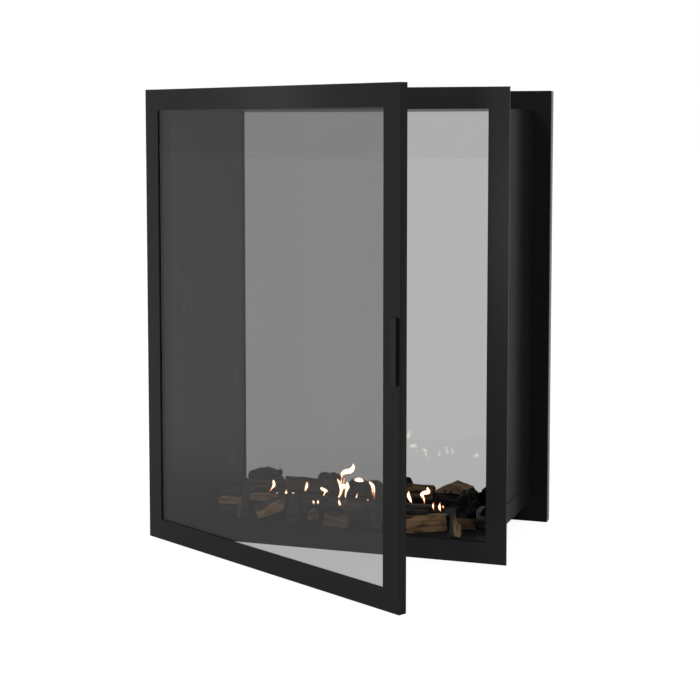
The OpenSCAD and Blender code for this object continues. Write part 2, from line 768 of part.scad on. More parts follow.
for (row = LOGS) fire_log(row);
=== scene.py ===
# %% [markdown]
# # A see-through ethanol fireplace
# The real object is a folded steel casing that is open from front to rear, with a tinted glass door
# at each end and a bed of ceramic logs round a row of small flames. The exact metal parts come from
# the CAD model, keep their shapes here, and get soft edges and real finishes. The logs and the
# ceramic wool grow out of their plain CAD solids. The flames and four small caps are added here.

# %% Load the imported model
import json
import math

import bpy
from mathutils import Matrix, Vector, noise


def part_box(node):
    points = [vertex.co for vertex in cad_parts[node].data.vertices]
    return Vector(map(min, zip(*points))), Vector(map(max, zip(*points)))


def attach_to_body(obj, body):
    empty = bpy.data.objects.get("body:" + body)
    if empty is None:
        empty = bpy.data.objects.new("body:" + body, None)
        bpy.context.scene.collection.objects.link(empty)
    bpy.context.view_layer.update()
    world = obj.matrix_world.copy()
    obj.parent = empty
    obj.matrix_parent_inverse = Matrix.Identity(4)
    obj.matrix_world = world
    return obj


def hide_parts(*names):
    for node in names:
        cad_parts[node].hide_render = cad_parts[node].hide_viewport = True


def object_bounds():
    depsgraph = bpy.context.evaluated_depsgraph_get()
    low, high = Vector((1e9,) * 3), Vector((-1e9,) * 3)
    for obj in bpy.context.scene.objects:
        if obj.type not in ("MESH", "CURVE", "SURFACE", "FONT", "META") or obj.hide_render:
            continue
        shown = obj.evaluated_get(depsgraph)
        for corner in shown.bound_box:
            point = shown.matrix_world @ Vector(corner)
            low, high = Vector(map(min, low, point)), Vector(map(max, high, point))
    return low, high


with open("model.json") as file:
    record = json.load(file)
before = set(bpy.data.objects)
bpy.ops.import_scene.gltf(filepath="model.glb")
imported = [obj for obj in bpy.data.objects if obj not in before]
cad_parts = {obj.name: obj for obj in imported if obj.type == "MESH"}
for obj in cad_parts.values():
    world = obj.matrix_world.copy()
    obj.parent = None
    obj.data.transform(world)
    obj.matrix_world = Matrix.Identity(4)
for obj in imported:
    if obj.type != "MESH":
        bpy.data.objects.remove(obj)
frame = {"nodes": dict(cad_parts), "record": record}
CAD_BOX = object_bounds()
nodes = frame["nodes"]
slot_of = {row["node"]: row["material_slot"] for row in frame["record"]["subparts"]}
MM = 0.001
print(len(nodes), "nodes,", len(set(slot_of.values())), "finishes")

# %% [markdown]
# ## The camera
# A product picture is taken with a long lens from a little to one side. The place, turn and lens
# could be found by eye, but here they come from fitting the frame's corners, so that every later
# comparison is like for like. The lens is given as its focal length in pixels of the picture.

# %% Camera
PICTURE_WIDTH = 700
FOCAL_PIXELS = 1625.0
CAMERA_PLACE = (1.1904, -3.4686, 0.8660)
CAMERA_YAW = 19.097
CAMERA_DIP = 4.819
SENSOR_WIDTH = 36
PICTURE_SHIFT = -0.12
FARTHEST_SEEN = 50
camera = bpy.data.objects.new("camera", bpy.data.cameras.new("camera"))
bpy.context.scene.collection.objects.link(camera)
camera.data.sensor_width = SENSOR_WIDTH
camera.data.lens = FOCAL_PIXELS / PICTURE_WIDTH * SENSOR_WIDTH
camera.data.shift_y = PICTURE_SHIFT
camera.data.clip_end = FARTHEST_SEEN
camera.location = CAMERA_PLACE
camera.rotation_euler = (math.radians(90 - CAMERA_DIP), 0, math.radians(CAMERA_YAW))
bpy.context.scene.camera = camera
bpy.context.scene.view_settings.view_transform = "Standard"
print("lens", round(camera.data.lens, 1), "mm")

# %% [markdown]
# ## Finishes as sums
# A material is a graph of nodes, which is slow to read as code. It could be wired by hand, one link
# a line. Here a small class holds a socket and takes part in Python sums, so that a finish reads as
# a formula, and a second class makes the shader and any other node in one call.

# %% A socket that can be added and multiplied
class Wire:
    def __init__(self, graph, socket):
        self.graph = graph
        self.socket = socket

    def maths(self, operation, *values):
        return self.graph.node("ShaderNodeMath", {"operation": operation}, dict(enumerate(values)))

    def __add__(self, other):
        return self.maths("ADD", self, other)

    def __sub__(self, other):
        return self.maths("SUBTRACT", self, other)

    def __rsub__(self, other):
        return self.maths("SUBTRACT", other, self)

    def __mul__(self, other):
        return self.maths("MULTIPLY", self, other)

    def __pow__(self, other):
        return self.maths("POWER", self, other)

    __radd__ = __add__
    __rmul__ = __mul__


# %% A graph of nodes
MIX_FACTOR, MIX_FIRST, MIX_SECOND, MIX_RESULT = 0, 6, 7, 2


class Graph:
    def __init__(self, tree):
        self.tree = tree

    def node(self, kind, settings=None, inputs=None, out=0):
        made = self.tree.nodes.new(kind)
        for key, value in (settings or {}).items():
            setattr(made, key, value)
        for key, value in (inputs or {}).items():
            self.join(value, made.inputs[key])
        return Wire(self, made.outputs[out])

    def join(self, value, socket):
        if isinstance(value, Wire):
            self.tree.links.new(value.socket, socket)
        else:
            socket.default_value = value

    def place(self, stretch=(1, 1, 1), source=None):
        source = source or self.node("ShaderNodeTexCoord", out="Object")
        return self.node("ShaderNodeVectorMath", {"operation": "MULTIPLY"}, {0: source, 1: stretch})

    def parts(self, vector):
        return [self.node("ShaderNodeSeparateXYZ", None, {0: vector}, out=i) for i in range(3)]

    def length(self, vector):
        return self.node("ShaderNodeVectorMath", {"operation": "LENGTH"}, {0: vector}, out="Value")

    def noise(self, scale, place, detail=2, roughness=0.5):
        wired = {"Vector": place, "Scale": scale, "Detail": detail, "Roughness": roughness}
        return self.node("ShaderNodeTexNoise", None, wired)

    def band(self, value, low, high):
        wired = {"Value": value, "From Min": low, "From Max": high}
        return self.node("ShaderNodeMapRange", {"clamp": True}, wired)

    def blend(self, factor, first, second):
        wired = {MIX_FACTOR: factor, MIX_FIRST: first, MIX_SECOND: second}
        return self.node("ShaderNodeMix", {"data_type": "RGBA"}, wired, out=MIX_RESULT)

    def attribute(self, name, out="Fac"):
        return self.node("ShaderNodeAttribute", {"attribute_name": name}, out=out)

    def ray_is(self, *kinds):
        total = 0
        for kind in kinds:
            total = self.node("ShaderNodeLightPath", out="Is " + kind + " Ray") + total
        return self.band(total, 0, 1)


# %% A finish: a graph with one Principled shader
class Finish(Graph):
    def __init__(self, name, constants):
        self.material = bpy.data.materials.new(name)
        self.material.use_nodes = True
        super().__init__(self.material.node_tree)
        self.shader = self.tree.nodes["Principled BSDF"]
        for key, value in constants.items():
            self.shader.inputs[key].default_value = value

    def feed(self, name, value):
        self.join(value, self.shader.inputs[name])

    def bump(self, height, distance, strength=1.0):
        wired = {"Height": height, "Distance": distance, "Strength": strength}
        self.feed("Normal", self.node("ShaderNodeBump", None, wired))


def grey(level):
    return (level, level, level, 1)


def darker(colour, share):
    return [c * share for c in colour[:3]] + [1]


print("half as bright as white:", darker(grey(1), 0.5))

# %% [markdown]
# ## Surroundings
# The object stands in a bright white room. A lit sheet of paper would do, but lamps strong enough
# to burn it white would also wash out the black steel. So the world shows itself as plain white to
# the eye, to reflections and through glass, while it lights the object at a lower level. The floor
# does the same, and takes a soft shadow. In mirrors its glow is dimmer close to the object, as a
# painted shadow.

# %% World and floor
WORLD_LIGHT = 0.5
FLOOR_GLOW = 0.93
FLOOR_PAINT = 0.28
FLOOR_REACH = 60
FLOOR_DROP = 0.2 * MM
SQUARE = [(-1, -1), (1, -1), (1, 1), (-1, 1)]
PAINTED_SHADOW_GLOW = 0.68
PAINTED_SHADOW_FROM, PAINTED_SHADOW_TO = 0.5, 1.7

world = bpy.data.worlds.new("white_room")
bpy.context.scene.world = world
world.use_nodes = True
sky = Graph(world.node_tree)
background = world.node_tree.nodes["Background"].inputs
background["Color"].default_value = grey(1)
seen = sky.ray_is("Camera", "Glossy", "Transmission")
sky.join(WORLD_LIGHT + (1 - WORLD_LIGHT) * seen, background["Strength"])

floor_mesh = bpy.data.meshes.new("floor")
floor_z = CAD_BOX[0][2] - FLOOR_DROP
corners = [(x * FLOOR_REACH, y * FLOOR_REACH, floor_z) for x, y in SQUARE]
floor_mesh.from_pydata(corners, [], [(0, 1, 2, 3)])
floor = bpy.data.objects.new("floor", floor_mesh)
bpy.context.scene.collection.objects.link(floor)
paper = Finish("floor_paper", {"Base Color": grey(FLOOR_PAINT), "Roughness": 1,
                               "Specular IOR Level": 0, "Emission Strength": 1})
# Painted shadow: in mirrors the floor glows dimmer close to the object.
past_painted_shadow = paper.band(paper.length(paper.place()), PAINTED_SHADOW_FROM, PAINTED_SHADOW_TO)
mirror_glow_painted_shadow = paper.ray_is("Glossy") * (PAINTED_SHADOW_GLOW + (FLOOR_GLOW - PAINTED_SHADOW_GLOW) * past_painted_shadow)
paper.feed("Emission Color", mirror_glow_painted_shadow + FLOOR_GLOW * paper.ray_is("Camera", "Transmission"))
floor.data.materials.append(paper.material)
print("world light", WORLD_LIGHT, "and a floor", round(floor_z, 4), "m high")

# %% [markdown]
# ## Lamps
# Broad lamps far away give a plain, even light. A tall strip at the left and a small lamp in front
# add the two soft sheens that a satin coat shows on a door bar and on a frame. In a mirror of glass
# these lamps would show as bright shapes, which a photographer would flag off, so light linking
# leaves the panes out of them, and the paper floor too. No lamp shows itself to the camera.

# %% Lamps
spared = bpy.data.collections.new("spared_by_lamps")
for thing in [floor] + [nodes[name] for name, slot in slot_of.items() if slot == "pane"]:
    spared.objects.link(thing)
for item in spared.collection_objects:
    item.light_linking.link_state = "EXCLUDE"


def soft_lamp(name, place, target, size, watts):
    lamp = bpy.data.lights.new(name, "AREA")
    lamp.shape = "RECTANGLE"
    lamp.size, lamp.size_y = size
    lamp.energy = watts
    thing = bpy.data.objects.new(name, lamp)
    thing.location = place
    thing.rotation_euler = (Vector(target) - Vector(place)).to_track_quat("-Z", "Y").to_euler()
    thing.visible_camera = False
    thing.visible_transmission = False
    thing.light_linking.receiver_collection = spared
    bpy.context.scene.collection.objects.link(thing)


MIDDLE = (0, -0.2, 0.45)
LAMPS = [
    ("key_lamp", (-3.5, -7.0, 6.0), MIDDLE, (3.0, 3.0), 260),
    ("fill_lamp", (5.0, -5.0, 5.0), MIDDLE, (3.0, 3.0), 160),
    ("back_lamp", (1.0, 6.0, 5.0), MIDDLE, (3.0, 3.0), 160),
    ("door_sheen", (-2.33, -0.84, 0.5), (-0.05, -0.41, 0.45), (0.10, 2.6), 3.2),
    ("frame_sheen", (0.04, -3.1, 0.50), (0.38, -0.2, 0.68), (0.25, 0.20), 8.0),
]
for row in LAMPS:
    soft_lamp(*row)
print(len(LAMPS), "lamps")

# %% [markdown]
# ## Powder coat
# The frames, doors, casing and pulls are steel with a baked satin black powder. It could be one
# flat black, but the real coat flows into a fine orange peel of about a millimetre and is a little
# uneven in gloss. A faint bump and a cloudy roughness give both. Each slot has its own shade,
# roughness and gloss. The liners, seen at a low angle, get a glossier copy of the casing's coat,
# whose paler shade is painted light.

# %% Powder coat finishes
COATS = {
    "frame_black": (0.0158, 0.28, 0.13),
    "casing_black": (0.0150, 0.26, 0.010),
    "door_black": (0.0108, 0.20, 0.10),
    "pull_black": (0.0060, 0.40, 0.16),
}
# Painted light: the liners' coat is paler than the casing's, to lighten their dim inner faces.
LINER_PAINTED_LIGHT_LOOK = (0.030, 0.26, 0.045)
BRACKET_LOOK = (0.02, 0.5, 0.25)
CLOUD_SCALE = 5.0
PEEL_SCALE = 1000.0
PEEL_DEPTH = 0.02 * MM
PEEL_STRENGTH = 0.2
UNEVEN = 0.1


def powder_coat(slot, shade, roughness, gloss):
    coat = Finish(slot, {"Specular IOR Level": gloss})
    place = coat.place()
    cloud = coat.noise(CLOUD_SCALE, place, detail=3)
    deep, pale = grey(shade * (1 - UNEVEN)), grey(shade * (1 + UNEVEN))
    coat.feed("Base Color", coat.blend(cloud, deep, pale))
    coat.feed("Roughness", roughness + (cloud - 0.5) * UNEVEN)
    coat.bump(coat.noise(PEEL_SCALE, place, detail=1), PEEL_DEPTH, PEEL_STRENGTH)
    return coat.material


materials = {slot: powder_coat(slot, *look) for slot, look in COATS.items()}
liner_lit_coat = powder_coat("liner_lit_coat", *LINER_PAINTED_LIGHT_LOOK)
print("powder coats:", ", ".join(materials))

# %% [markdown]
# ## Burner metals and small parts
# The deck carries the fire, so its black is matt, heat-proof paint with ash and soot on it. The
# tank and shutter are brushed stainless steel that has gone straw in the heat and is sooted beside
# the slot. Screws and nuts are zinc plated, magnets are nickel plated. Each could have a photo
# texture, but a short formula on the same noise keeps its scale on every piece.

# %% Deck, stainless steel, plated parts
SOOT_FROM, SOOT_TO = 60 * MM, 25 * MM
SOOT_BLACK = (0.012, 0.011, 0.010, 1)
ASH_GREY = (0.06, 0.055, 0.05, 1)
STEEL_DARK, STEEL_PALE = (0.42, 0.41, 0.39, 1), (0.56, 0.55, 0.53, 1)
STRAW = (0.40, 0.31, 0.20, 1)
ZINC, NICKEL = (0.50, 0.50, 0.52, 1), (0.62, 0.60, 0.57, 1)


def off_slot(finish):
    """The distance to the upright plane through the middle of the flame slot."""
    return finish.length(finish.place((0, 1, 0)))


def deck_paint():
    deck = Finish("deck_black", {"Specular IOR Level": 0.06})
    place = deck.place()
    ash = deck.band(deck.noise(38.0, place, detail=6, roughness=0.7), 0.54, 0.72)
    soot = deck.noise(9.0, place, detail=4)
    painted = deck.blend(soot, grey(0.006), grey(0.014))
    deck.feed("Base Color", deck.blend(ash * 0.35, painted, ASH_GREY))
    deck.feed("Roughness", 0.55 + ash * 0.3)
    deck.bump(deck.noise(420.0, place, detail=3), 0.08 * MM, 0.5)
    return deck.material


def stainless():
    steel = Finish("stainless", {"Specular IOR Level": 0.05})
    place = steel.place()
    grain = steel.noise(900.0, steel.place((0.03, 1, 1)), detail=2)
    heat = steel.band(steel.noise(7.0, place, detail=2), 0.45, 0.7)
    brushed = steel.blend(grain, STEEL_DARK, STEEL_PALE)
    soot = steel.band(off_slot(steel), SOOT_FROM, SOOT_TO)
    coloured = steel.blend(heat * 0.5, brushed, STRAW)
    steel.feed("Base Color", steel.blend(soot, coloured, SOOT_BLACK))
    steel.feed("Metallic", 1 - soot)
    steel.feed("Roughness", 0.28 + grain * 0.2)
    steel.bump(grain, 0.02 * MM, 0.3)
    return steel.material


def plated(slot, colour, roughness):
    plate = Finish(slot, {"Metallic": 1.0})
    worn = plate.noise(300.0, plate.place(), detail=3)
    plate.feed("Base Color", plate.blend(worn, darker(colour, 0.8), colour))
    plate.feed("Roughness", roughness + worn * 0.15)
    return plate.material


materials["deck_black"] = deck_paint()
materials["stainless"] = stainless()
materials["fastener"] = plated("fastener", ZINC, 0.25)
materials["magnet"] = plated("magnet", NICKEL, 0.15)
materials["bracket"] = powder_coat("bracket", *BRACKET_LOOK)
print(len(materials), "metal finishes")

# %% [markdown]
# ## Tape and seal
# The pane is bedded on woven glass tape, and a silicone lip closes the door against the frame. A
# weave can be modelled thread by thread, but at this size two crossed waves as bump are enough.

# %% Tape and seal
THREAD_SCALE = 260.0


def woven_tape():
    tape = Finish("tape", {"Roughness": 0.9, "Specular IOR Level": 0.1})
    place = tape.place()
    wired = {"Vector": place, "Scale": THREAD_SCALE}
    warp, weft = [tape.node("ShaderNodeTexWave", {"bands_direction": way}, wired) for way in "XZ"]
    weave = warp * weft
    tape.feed("Base Color", tape.blend(weave, grey(0.008), grey(0.022)))
    tape.bump(weave, 0.2 * MM, 0.6)
    return tape.material


def silicone():
    lip = Finish("seal", {"Roughness": 0.6, "Specular IOR Level": 0.3})
    dust = lip.noise(60.0, lip.place(), detail=4)
    lip.feed("Base Color", lip.blend(dust, grey(0.009), grey(0.018)))
    lip.bump(dust, 0.1 * MM, 0.3)
    return lip.material


materials["tape"] = woven_tape()
materials["seal"] = silicone()
print("tape and seal")

# %% [markdown]
# ## Tinted glass
# The doors have grey toughened glass, and a pane lets through about two fifths of the light. Real
# refraction would bend the logs behind it a little and cost much time. A thin black shader with
# partial alpha darkens what is behind it and still mirrors the room and the flames.

# %% Glass
PANE_ALPHA = 0.362
PANE_IOR = 1.74
PANE_TINT = (0.004, 0.0042, 0.0044, 1)
pane = Finish("pane", {"Base Color": PANE_TINT, "Alpha": PANE_ALPHA, "IOR": PANE_IOR})
smear = pane.band(pane.noise(11.0, pane.place((1, 1, 0.4)), detail=4), 0.35, 0.75)
pane.feed("Roughness", 0.012 + smear * 0.02)
materials["pane"] = pane.material
print("pane lets through", round((1 - PANE_ALPHA) ** 2, 3))

# %% [markdown]
# ## Soft edges on folded sheet
# Folded and laser-cut sheet never has a perfectly sharp edge, and the powder rounds it further. The
# CAD solids are sharp. A weld joins their split corners and a narrow bevel then catches the light
# along every edge. Modifiers do both, so the solid's own mesh stays as it is.

# %% Bevels
EDGES = {"frame_black": 0.4, "casing_black": 0.15, "door_black": 0.6, "pull_black": 0.6,
         "deck_black": 0.2, "bracket": 0.4, "pane": 0.5}
WELD_GAP = 0.01 * MM
SHARP_CORNER = math.radians(50)
edged = {name: EDGES[slot] * MM for name, slot in slot_of.items() if slot in EDGES}
for name, width in edged.items():
    weld = nodes[name].modifiers.new("weld", "WELD")
    weld.merge_threshold = WELD_GAP
    bevel = nodes[name].modifiers.new("soft_edge", "BEVEL")
    bevel.width = width
    bevel.segments = 2
    bevel.limit_method = "ANGLE"
    bevel.angle_limit = SHARP_CORNER
print("soft edges on", len(edged), "nodes")

# %% [markdown]
# ## Reading a log from its solid
# Each log is a plain prism in the CAD model. Its place could be typed in again, but would be wrong
# after the first change of the CAD. So the script reads the prism: it gathers the corners of each
# solid, finds the direction in which they all lie in two planes, and takes the corners in one of
# these planes as the log's section.

# %% Solids, ends and sections
SHORTEST_AXIS = 8 * MM
PLANE_TOLERANCE = 0.03 * MM
PARALLEL = 1e-12
EDGE_SLACK = 1e-6


def solids_of(node):
    """The corners of each solid in a node, found by following the faces from corner to corner."""
    points = [tuple(round(c, 6) for c in v.co) for v in node.data.vertices]
    leader = {point: point for point in points}

    def root(point):
        while leader[point] != point:
            point = leader[point]
        return point

    for face in node.data.polygons:
        for index in face.vertices[1:]:
            leader[root(points[index])] = root(points[face.vertices[0]])
    solids = {}
    for point in dict.fromkeys(points):
        solids.setdefault(root(point), []).append(Vector(point))
    return list(solids.values())


def two_ends(corners):
    """The direction of a prism's axis, and the corners at its two ends."""
    ways = [Vector((0, 0, 1))]
    ways += [(second - first).normalized() for first in corners for second in corners
             if (second - first).length > SHORTEST_AXIS]
    for way in ways:
        reach = [c.dot(way) for c in corners]
        low = [c for c, r in zip(corners, reach) if r - min(reach) < PLANE_TOLERANCE]
        high = [c for c, r in zip(corners, reach) if max(reach) - r < PLANE_TOLERANCE]
        if len(low) + len(high) == len(corners) and len(low) == len(high):
            return way, low, high
    raise ValueError("no two end planes")


def middle(points):
    return sum(points, Vector()) / len(points)


def radius_towards(outline, angle):
    """How far the outline of a section lies from its middle at an angle."""
    ray = Vector((math.cos(angle), math.sin(angle)))
    best = 0
    for (x1, y1), (x2, y2) in zip(outline, outline[1:] + outline[:1]):
        across = ray.x * (y2 - y1) - ray.y * (x2 - x1)
        if abs(across) > PARALLEL:
            t = (x1 * (y2 - y1) - y1 * (x2 - x1)) / across
            s = (x1 * ray.y - y1 * ray.x) / across
            if t > 0 and -EDGE_SLACK <= s <= 1 + EDGE_SLACK:
                best = max(best, t)
    return best


way, low, high = two_ends(solids_of(nodes["bark_log_front"])[0])
print("the front bark log is", round((middle(high) - middle(low)).length / MM), "mm long")

# %% [markdown]
# ## Growing bark and splinters
# Ceramic logs are cast from real wood, so they carry deep bark plates or long torn splinters, and
# rough ends. Sculpting or a displacement texture would work. Here rings of points round the prism's
# axis move inward by noise that is stretched along the grain, so the form stays inside the solid,
# and each point keeps its place in the log and how far into a recess it lies. The finish adds a
# little char there and darkens it as painted shade.

# %% Relief of bark and of split wood
PLATES, GRIT, SWELLS, KNOBS = (0.016, 0.0075), (0.007, 0.004), (0.034, 0.024), (0.014, 0.011)
FIBRES, TEARS, WARPS = (0.045, 0.0032), (0.030, 0.009), (0.050, 0.030)
CRACK_WIDTH = 0.35


def smooth_step(value, low, high):
    t = min(1, max(0, (value - low) / (high - low)))
    return t * t * (3 - 2 * t)


def stretched(along, x, y, size, seed):
    """A place in the noise whose lumps have the given length and width, in metres."""
    long, wide = size
    return Vector((along / long, x / wide, y / wide)) + Vector((seed * 3.1, seed * 1.7, seed * 5.3))


def bark_relief(along, x, y, seed):
    """How deep the surface lies under the solid, in metres, and how far into a recess it lies,
    from 0 to 1, which the finish darkens as painted shade over a little char.
    """
    near = noise.voronoi(stretched(along, x, y, PLATES, seed))[0]
    crack = 1 - min(1, (near[1] - near[0]) / CRACK_WIDTH)
    rough = noise.turbulence(stretched(along, x, y, GRIT, seed), 3, False)
    swell = noise.noise(stretched(along, x, y, SWELLS, seed))
    knob = noise.noise(stretched(along, x, y, KNOBS, seed))
    return (0.8 + 2.6 * crack ** 1.5 + 1.4 * rough + 9.0 * swell + 4.0 * knob) * MM, crack


def split_relief(along, x, y, seed):
    """The same two numbers for split wood."""
    fibre = abs(noise.noise(stretched(along, x, y, FIBRES, seed)))
    torn = max(0, noise.noise(stretched(along, x, y, TEARS, seed)))
    warp = noise.noise(stretched(along, x, y, WARPS, seed))
    return (0.4 + 0.7 * fibre + 1.9 * torn + 2.4 * warp) * MM, min(1, 0.5 * fibre + 1.3 * torn)


print("bark lies", round(bark_relief(0.05, 0.02, 0.02, 1)[0] / MM, 1), "mm deep at one place")

# %% A mesh from points and faces
class Surface:
    def __init__(self):
        self.points, self.faces = [], []
        self.places, self.marks, self.tones = [], [], []


def close_tube(faces, first, past, sides):
    """Faces between rings of points, from the point first up to past, and on both ends."""
    for a in range(first, past - sides, sides):
        for i in range(sides):
            j = (i + 1) % sides
            faces.append((a + i, a + j, a + sides + j, a + sides + i))
    faces.append(tuple(reversed(range(first, first + sides))))
    faces.append(tuple(range(past - sides, past)))


def new_piece(name, points, faces):
    mesh = bpy.data.meshes.new(name)
    mesh.from_pydata(points, [], faces)
    mesh.update()
    mesh.polygons.foreach_set("use_smooth", [True] * len(mesh.polygons))
    piece = bpy.data.objects.new(name, mesh)
    bpy.context.scene.collection.objects.link(piece)
    return piece


def attach(piece, name, kind, values):
    """Store a number or a vector for each point, for the finish to read."""
    field = "value" if kind == "FLOAT" else "vector"
    piece.data.attributes.new(name, kind, "POINT").data.foreach_set(field, values)


# %% One log
SIDES = 72
RING_STEP = 1.8 * MM
CAP_RINGS = 9
FEWEST_RINGS = 6
THINNEST = 2 * MM
BARK_END = {"rounding": 6.0, "rounded_to": 9.0, "ragged": 6.0, "dented": 0.8}
SPLIT_END = {"rounding": 1.2, "rounded_to": 2.5, "ragged": 1.5, "dented": 0.5}
RAGGED_TO = 9 * MM
STICK_SPLIT = 4 * MM
STICK_LOW_SIDE = 0.56
STICK_SLOPE = 12


class Log:
    """A log grown on a prism: a bark log, a split log, or a split log with bark on one side."""

    def __init__(self, corners, kind, seed, taper, bark_side):
        self.way, low, high = two_ends(corners)
        if self.way.x < -0.1 or (abs(self.way.x) <= 0.1 and self.way.y < 0):
            self.way, low, high = -self.way, high, low
        self.seed, self.taper, self.bark_side = seed, taper, bark_side
        self.bark = kind == "bark"
        self.relief = bark_relief if self.bark else split_relief
        self.end = BARK_END if self.bark else SPLIT_END
        upright = abs(self.way.z) > 0.9
        self.side = Vector((0, 1, 0) if upright else (0, 0, 1)).cross(self.way).normalized()
        self.up = self.way.cross(self.side)
        self.start = middle(low)
        self.stretch = middle(high) - self.start
        outline = [((c - self.start).dot(self.side), (c - self.start).dot(self.up)) for c in low]
        outline.sort(key=lambda p: math.atan2(p[1], p[0]))
        self.foot = min(p[1] for p in outline)
        self.angles = [2 * math.pi * i / SIDES - math.pi for i in range(SIDES)]
        for x, y in [] if self.bark else outline:
            corner = math.atan2(y, x)
            self.angles[min(range(SIDES), key=lambda i: abs(self.angles[i] - corner))] = corner
        self.radii = [radius_towards(outline, a) for a in self.angles]

    def rind(self, angle, x):
        """How much bark is left on a split log there, from 0 to 1."""
        if self.bark_side:
            return smooth_step(x * self.bark_side, -1 * MM, 1 * MM)
        return 0 if self.bark else smooth_step(math.cos(angle - self.seed * 2.4), 0.80, 0.90)

    def ring(self, surface, t, shrink=1.0):
        """Points round the log at t, from 0 to 1 along it. A ring that shrinks is on its end."""
        inset = min(t, 1 - t) * self.stretch.length
        inward = self.way if t < 0.5 else -self.way
        narrow = 1 - self.taper[0] * (1 - t) ** 3 - self.taper[1] * t ** 3
        near_end = max(0, 1 - inset / (self.end["rounded_to"] * MM))
        rounding = self.end["rounding"] * MM * near_end ** 2
        ragged = self.end["ragged"] * MM * max(0, 1 - inset / RAGGED_TO)
        for angle, radius in zip(self.angles, self.radii):
            dx, dy = math.cos(angle), math.sin(angle)
            depth, recess_char_and_shade = self.relief(t * self.stretch.length, dx * radius, dy * radius, self.seed)
            reach = max(THINNEST, radius - depth - rounding) * narrow
            x, y = dx * reach, dy * reach
            if y < 0:
                y = max(self.foot, y / narrow)
            else:
                y -= (1 - narrow) * radius * 0.6
            x, y = x * shrink, y * shrink
            torn = noise.noise(Vector((1.7 * dx, 1.7 * dy, self.seed + 9 * round(t))))
            slide = ragged * (0.5 + 0.9 * torn)
            if shrink < 1:
                dent, recess_char_and_shade = self.relief(0.5, x * 1.3, y * 1.3, self.seed + 40)
                slide += dent * (1 - shrink ** 4) * self.end["dented"]
            place = self.start + self.stretch * t + inward * slide + self.side * x + self.up * y
            if self.bark_side:
                barkwards = x * self.bark_side
                high = smooth_step(barkwards, -2 * MM, 3 * MM)
                top = STICK_LOW_SIDE + (1 - STICK_LOW_SIDE) * high
                top -= abs(barkwards - STICK_SPLIT) * STICK_SLOPE
                place.z = min(place.z, self.start.z + self.stretch.z * top)
            surface.points.append(place)
            surface.places += (t * self.stretch.length + self.seed, x, y)
            # The middle mark is the recess depth, which the finish darkens as painted shade.
            surface.marks += (0 if self.bark or shrink == 1 else 1, recess_char_and_shade, self.rind(angle, x))

    def grow(self, surface):
        first = len(surface.points)
        rings = max(FEWEST_RINGS, round(self.stretch.length / RING_STEP))
        caps = [(k + 0.3) / CAP_RINGS for k in range(CAP_RINGS)]
        for shrink in caps:
            self.ring(surface, 0, shrink)
        for k in range(rings + 1):
            self.ring(surface, k / rings)
        for shrink in reversed(caps):
            self.ring(surface, 1, shrink)
        close_tube(surface.faces, first, len(surface.points), SIDES)


# %% [markdown]
# ## The bed of logs
# In the real fire some logs are charred bark, some are split, and a few are dusted grey with ash.
# Each could have a material of its own, but three finishes that read a log's tone keep them alike.
# A tone is the share of ash on wood, the share of ash on bark, and how light the wood is. Logs that
# share a node are taken from left to right. A taper is how much a log narrows at its two ends.

# %% Tones and tapers
LOG_SLOTS = ("dark_log", "brown_log", "light_log")
SAWN = ("slabs", "planks", "blocks")
STICK_BARK_SIDE = (1, -1)
SHARP_RIM = math.radians(40)
TAPERS = {
    "big_bark_left": (0.38, 0.16),
    "back_bark_mid": (0.30, 0.10),
    "bark_log_mid": (0.12, 0.30),
    "bark_log_front": (0.62, 0.0),
    "bark_log_left": (0.30, 0.0),
    "back_bark_right": (0.0, 0.35),
}
NO_TAPER = (0, 0)
PLAIN = (0.1, 0.1, 1.0)
TONES = {
    "big_light_log": [(0.0, 0.1, 0.75)],
    "tilted_block": [(0.0, 0.3, 1.7)],
    "thin_planks": [(0.0, 0.2, 1.8), (0.0, 0.2, 1.8)],
    "brown_chunk": [(0.0, 0.3, 1.9)],
    "grey_bark_left": [(1.0, 1.0, 1.3)],
    "bark_log_front": [(0.5, 0.5, 1.3)],
    "bark_log_left": [(0.5, 0.5, 1.0)],
    "low_dark_slabs": [(1.0, 1.0, 0.9), (0.4, 0.4, 1.0)],
    "pale_blocks": [(0.0, 0.0, 0.6), (1.0, 1.0, 3.2)],
    "floor_blocks": [(1.0, 1.0, 0.9), (1.0, 1.0, 0.8), (0.0, 0.0, 2.6)],
    "upright_sticks": [(0.0, 0.9, 1.0), (0.0, 0.7, 1.0)],
}
print(len(TONES), "toned and", len(TAPERS), "tapered nodes")

# %% Build the logs
seed = 0
logs = []
for name, slot in slot_of.items():
    if slot not in LOG_SLOTS:
        continue
    surface = Surface()
    kind = "bark" if slot == "dark_log" and not any(word in name for word in SAWN) else "split"
    for index, corners in enumerate(sorted(solids_of(nodes[name]), key=lambda c: middle(c).x)):
        seed += 1
        before = len(surface.points)
        bark_side = STICK_BARK_SIDE[index] if "stick" in name else 0
        Log(corners, kind, seed, TAPERS.get(name, NO_TAPER), bark_side).grow(surface)
        tone = TONES[name][index] if name in TONES else PLAIN
        surface.tones += tone * (len(surface.points) - before)
    log = new_piece("cast_" + name, surface.points, surface.faces)
    log.data.set_sharp_from_angle(angle=SHARP_RIM)
    attach(log, "log_place", "FLOAT_VECTOR", surface.places)
    attach(log, "log_marks", "FLOAT_VECTOR", surface.marks)
    attach(log, "log_tone", "FLOAT_VECTOR", surface.tones)
    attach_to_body(log, "casing")
    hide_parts(name)
    logs.append((log, slot))
log_faces = sum(len(log.data.polygons) for log, _ in logs)
print(len(logs), "log pieces,", seed, "logs,", log_faces, "faces")

# %% [markdown]
# ## Log finishes
# The dark logs are charred bark: grey brown with a trace of ash on the plates. The split ones show
# tan grain lines, darker knots of char and rings on the sawn ends. On every log the cracks and torn
# hollows get a little more char and are darkened nearly to black as painted shade. The colours
# could be painted, but sums on the log's own coordinates follow the grain by themselves.

